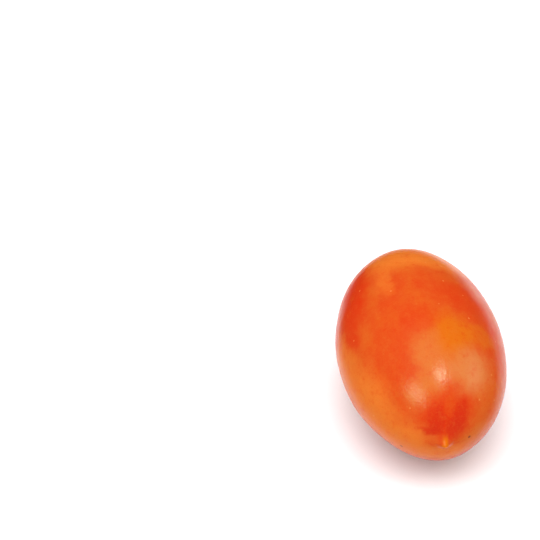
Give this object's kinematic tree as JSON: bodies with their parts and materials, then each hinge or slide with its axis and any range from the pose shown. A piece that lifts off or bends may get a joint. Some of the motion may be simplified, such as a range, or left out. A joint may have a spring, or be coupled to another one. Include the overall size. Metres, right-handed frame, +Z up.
{
  "type": "plum tomato",
  "caption": "Whole plum tomato lying on its side, with a small point at its blossom end and a shallow dimple round a corky scar at its stem end.",
  "frame": {"origin": "on the surface the fruit rests on, under the middle of its bounding box", "axes": "+Z up, -Y towards the blossom end and +Y towards the stem end along the fruit's length, +X across it"},
  "size_m": [0.05, 0.0724, 0.0511],
  "materials": {
    "skin": "waxy gloss, orange-red with paler orange and deeper red blotches"
  },
  "bodies": {
    "root": {"tomato": "skin"}
  },
  "joints": []
}
